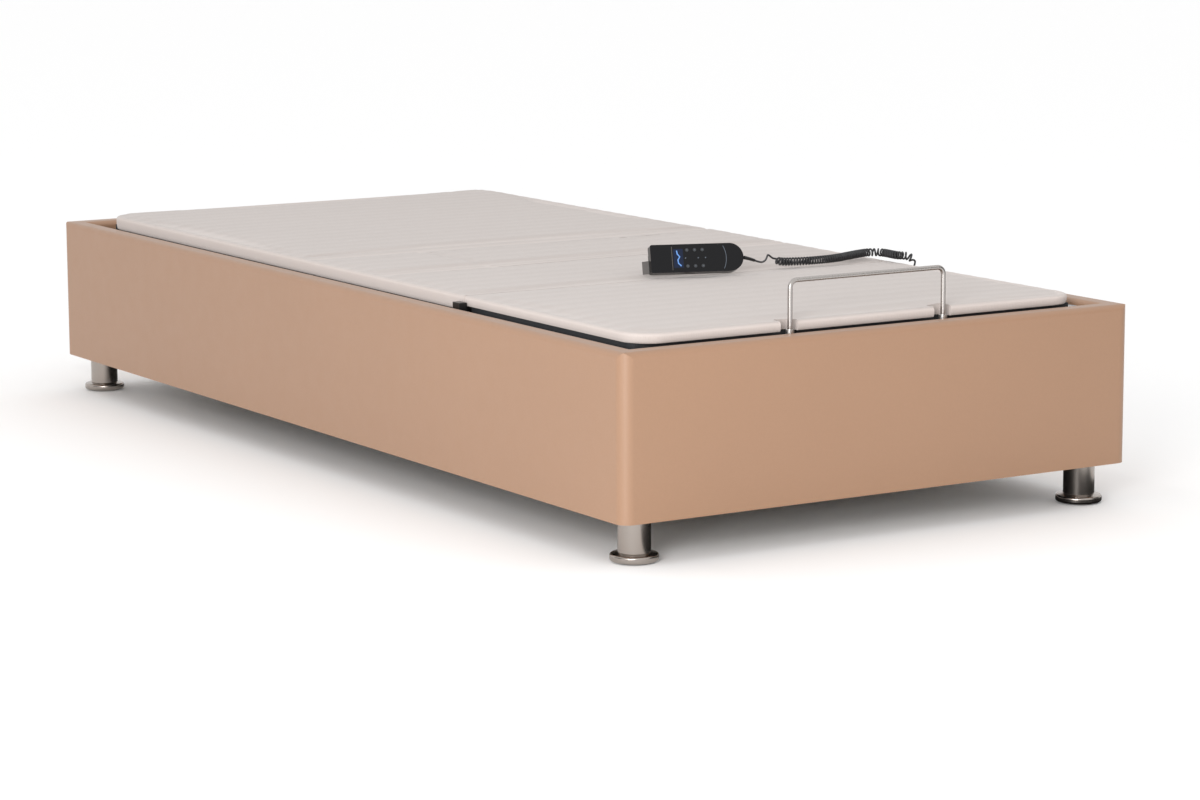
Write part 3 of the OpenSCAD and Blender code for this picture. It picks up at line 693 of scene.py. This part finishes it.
def swell(pad, y0, y1):
    """Blows a voxel copy of the pad up as cloth, held where it rests on its board, and moves the pad's
    points as the copy's moved, by no more than the cap. The outline and the ends at y0 and y1 stay."""
    copy = add_object("cloth_copy", pad.data.copy())
    remesh = copy.modifiers.new("voxels", "REMESH")
    remesh.mode = "VOXEL"
    remesh.voxel_size = CLOTH_VOXEL
    copy.data = evaluated(copy)
    copy.modifiers.clear()
    start = [v.co.copy() for v in copy.data.vertices]
    held = copy.vertex_groups.new(name="held")
    held.add([i for i, co in enumerate(start) if co.z < PAD_Z0 + HELD_H], 1.0, "REPLACE")
    cloth = copy.modifiers.new("cloth", "CLOTH")
    cloth.settings.vertex_group_mass = "held"
    cloth.settings.use_pressure = True
    cloth.settings.uniform_pressure_force = CLOTH_PRESSURE
    cloth.settings.shrink_min = CLOTH_SHRINK
    cloth.settings.effector_weights.gravity = 0
    cloth.point_cache.frame_start = 1
    cloth.point_cache.frame_end = CLOTH_FRAMES
    for step in range(1, CLOTH_FRAMES + 1):
        bpy.context.scene.frame_set(step)
    moved = evaluated(copy)
    tree = kdtree.KDTree(len(start))
    for i, co in enumerate(start):
        tree.insert(co, i)
    tree.balance()
    for v in pad.data.vertices:
        near = tree.find_n(v.co, FOLLOWED)
        weights = [1 / (distance + FOLLOW_EVEN) for _, _, distance in near]
        move = sum((w * (moved.vertices[i].co - start[i]) for w, (_, i, _) in zip(weights, near)), Vector())
        move /= sum(weights)
        if move.length > CLOTH_CAP:
            move.length = CLOTH_CAP
        inside = min(v.co.y - y0, y1 - v.co.y, outline_distance(v.co.x, v.co.y))
        v.co += move * smoothstep(0, CLOTH_END, inside)
        v.co.z = min(v.co.z, PAD_Z1)
    bpy.context.scene.frame_set(1)
    bpy.data.objects.remove(copy)


def prism(name, outline, z0, z1, place=Matrix()):
    """A closed prism over an outline of (x, y) points."""
    mesh = bmesh.new()
    bottom = [mesh.verts.new(place @ Vector((x, y, z0))) for x, y in outline]
    top = [mesh.verts.new(place @ Vector((x, y, z1))) for x, y in outline]
    mesh.faces.new(bottom[::-1])
    mesh.faces.new(top)
    for i in range(len(outline)):
        j = (i + 1) % len(outline)
        mesh.faces.new((bottom[i], bottom[j], top[j], top[i]))
    bmesh.ops.recalc_face_normals(mesh, faces=mesh.faces)
    data = bpy.data.meshes.new(name)
    mesh.to_mesh(data)
    mesh.free()
    return add_object(name, data)


def notch(pad):
    """Cuts the two notches that the retainer bar's posts stand in, with round inner corners."""
    for side in (-1, 1):
        outline = [(side * POST_X + x, PAD_FOOT_Y - NOTCH_OVER) for x in (-NOTCH_W / 2, NOTCH_W / 2)]
        for turn, corner in ((0, 1), (90, -1)):
            for i in range(CORNER_POINTS):
                a = radians(turn + 90 * i / (CORNER_POINTS - 1))
                outline.append((
                    side * POST_X + corner * (NOTCH_W / 2 - NOTCH_R) + NOTCH_R * cos(a),
                    PAD_FOOT_Y + NOTCH_D - NOTCH_R + NOTCH_R * sin(a),
                ))
        cutter = prism("notch_cutter", outline, PAD_Z0 - NOTCH_OVER, PAD_Z1 + NOTCH_OVER)
        cut = pad.modifiers.new("notch", "BOOLEAN")
        cut.operation = "DIFFERENCE"
        cut.object = cutter
        data = evaluated(pad)
        pad.modifiers.clear()
        pad.data = data
        bpy.data.objects.remove(cutter)
    pad.data.set_sharp_from_angle(angle=radians(50))


for section, body, free in (
    ("back", "back_section", (False, True)),
    ("seat", "base", (False, False)),
    ("thigh", "thigh_section", (False, False)),
    ("calf", "calf_section", (True, False)),
):
    low_ends, top_ends = slanted(section + "_pad")
    pad = make_pad(section + "_pad_cover", low_ends, top_ends, free)
    swell(pad, *low_ends)
    if section == "calf":
        notch(pad)
    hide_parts(section + "_pad")
    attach(pad, body)


def make_fold(name, head_side, foot_side):
    """The strip of cover and foam that fills the V between two pads."""
    (head_low, head_top), (foot_low, foot_top) = head_side, foot_side
    fold = make_pad(name, (foot_low, head_low), (foot_top, head_top))
    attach(fold, "base")
    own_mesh(fold)


back_low, back_top = slanted("back_pad")
seat_low, seat_top = slanted("seat_pad")
thigh_low, thigh_top = slanted("thigh_pad")
make_fold(
    "back_fold", (back_low[0], back_top[0]), (seat_low[1], seat_top[1])
)
make_fold(
    "thigh_fold", (seat_low[0], seat_top[0]), (thigh_low[1], thigh_top[1])
)


# ---- Handset details ----

HANDSET_L, HANDSET_W, HANDSET_T = 0.163, 0.049, 0.018
HANDSET_PLACE = (
    Matrix.Translation((-0.055, -0.432, PAD_Z1 + 0.0005))
    @ Matrix.Rotation(radians(-20), 4, "Z")
    @ Matrix.Rotation(radians(90 - 19), 4, "X")
)
KEY_X0, KEY_DX, KEY_DY = 0.064, 0.0135, 0.014


def plate(name, outline, z0, z1, body, material):
    """A thin plate on the handset, from its outline in the face's own coordinates."""
    piece = paint(prism(name, outline, z0, z1, HANDSET_PLACE), material)
    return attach(piece, body)


def band(points, width):
    """The outline of a stroke of that width along the points."""
    p = [Vector(v) for v in points]
    left, right = [], []
    for i, v in enumerate(p):
        along = (p[min(i + 1, len(p) - 1)] - p[max(i - 1, 0)]).normalized()
        side = Vector((-along.y, along.x)) * width / 2
        left.append(v + side)
        right.append(v - side)
    return left + right[::-1]


FACE = HANDSET_T
KEY_TOP = FACE + 0.0006
PRINT_T = 0.0002
LINE_W = 0.0009
LINE_X, LINE_END = 0.0375, 0.004
GLYPH_W = 0.0022
ARC_X = HANDSET_L - HANDSET_W / 2 - 0.050
ARC_R = 0.044
ARC_HALF, ARC_STEPS = 27, 18
separator = [
    (ARC_X + ARC_R * cos(a), HANDSET_W / 2 + ARC_R * sin(a))
    for a in (radians(-ARC_HALF + 2 * ARC_HALF * i / ARC_STEPS) for i in range(ARC_STEPS + 1))
]
plate("handset_separator", band(separator, LINE_W), FACE, FACE + PRINT_T, "handset", PAINTED_GLOW_PRINT)
plate(
    "handset_line", band([(LINE_X, LINE_END), (LINE_X, HANDSET_W - LINE_END)], LINE_W),
    FACE, FACE + PRINT_T / 2, "handset", MATERIALS["hook_grey"],
)
glyph = [(0.053, 0.011), (0.048, 0.016), (0.0475, 0.022), (0.051, 0.027), (0.047, 0.032), (0.046, 0.038)]
plate(
    "display_glyph", band(glyph, GLYPH_W), FACE - PRINT_T, FACE - PRINT_T / 2, "handset", GLYPH
)
for index, x in enumerate((0.060, KEY_X0 + 1.35 * KEY_DX, KEY_X0 + 2.3 * KEY_DX)):
    dash = [(x, HANDSET_W / 2 - 0.0006), (x + 0.0018, HANDSET_W / 2 + 0.0008)]
    plate(
        f"indicator_{index + 1}", band(dash, 0.0016), FACE, FACE + PRINT_T, "handset", PAINTED_GLOW_PRINT
    )
for column, pair in enumerate(("back", "legs", "both")):
    for way, row in (("up", 1), ("down", -1)):
        x, y = KEY_X0 + column * KEY_DX, HANDSET_W / 2 + row * KEY_DY
        tip = 0.0013 * row
        arrow = [(x - 0.0011, y - tip / 2), (x + 0.0011, y - tip / 2), (x, y + tip)]
        plate(
            f"arrow_{pair}_{way}", arrow, KEY_TOP, KEY_TOP + PRINT_T, f"key_{pair}_{way}", PAINTED_GLOW_PRINT
        )


RELIEF_R = 0.0034
RELIEF_POINTS = 24
RELIEF_TAPER = 0.25
RELIEF_GROOVE = 0.86


def make_strain_relief():
    """A tapered, ribbed sleeve round the cord where it leaves the handset."""
    line = through(HANDSET_TAIL[:4], 0.001)[:RELIEF_POINTS]
    count = len(line)
    shares = [(1 - RELIEF_TAPER * i / count) * (1 if i % 3 else RELIEF_GROOVE) for i in range(count)]
    relief = tube("strain_relief", line, RELIEF_R, 5, shares)
    paint(relief, MATERIALS["black_plastic"])
    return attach(relief, "handset")


make_strain_relief()


# ---- Studio ----


def stage_plane(name, size, place, turn=(0, 0, 0), color=(1, 1, 1), roughness=0.6):
    data = bpy.data.meshes.new(name)
    half = Vector(size) / 2
    corners = [(-half.x, -half.y, 0), (half.x, -half.y, 0), (half.x, half.y, 0), (-half.x, half.y, 0)]
    data.from_pydata(corners, [], [(0, 1, 2, 3)])
    plane = add_object(name, data)
    plane.location = place
    plane.rotation_euler = turn
    paint(plane, Shader(name, color, roughness, **{"Specular IOR Level": 0.2}).material)
    return plane


def area_light(name, power, size, place, target):
    """A square or oblong light at place that faces target."""
    data = bpy.data.lights.new(name, "AREA")
    data.shape = "RECTANGLE"
    data.size, data.size_y = size
    data.energy = power
    light = add_object(name, data)
    light.location = place
    look = Vector(target) - Vector(place)
    light.rotation_euler = look.to_track_quat("-Z", "Y").to_euler()


stage_plane("floor", (60, 60), (0, 0, 0), color=(0.99, 0.99, 0.99), roughness=0.9)
# Painted shade: cards that only reflections see, standing in for the shade under the box and the studio's
# unlit sides. Each has its place, its turn in degrees, its size and its grey.
CARDS = (
    ((0.14, 0.0, 0.001), (0, 0, 0), (1.04, 2.6), 0.02),
    ((2.6, -2.3, 0.7), (90, 0, 68), (2.6, 2.4), 0.01),
    ((-3.3, 0.0, 0.7), (90, 0, 70), (2.6, 2.4), 0.2),
)
for index, (place, turn, size, grey) in enumerate(CARDS):
    card = stage_plane(f"painted_shade_card_{index}", size, place, [radians(a) for a in turn], (grey,) * 3)
    card.visible_camera = card.visible_diffuse = card.visible_shadow = False

world = bpy.data.worlds.new("studio")
world.use_nodes = True
world.node_tree.nodes["Background"].inputs["Color"].default_value = (1, 1, 1, 1)
world.node_tree.nodes["Background"].inputs["Strength"].default_value = 1.0
bpy.context.scene.world = world
area_light("key", power=150, size=(1.8, 1.8), place=(-3.6, -3.9, 1.3), target=(0, -0.3, 0.2))
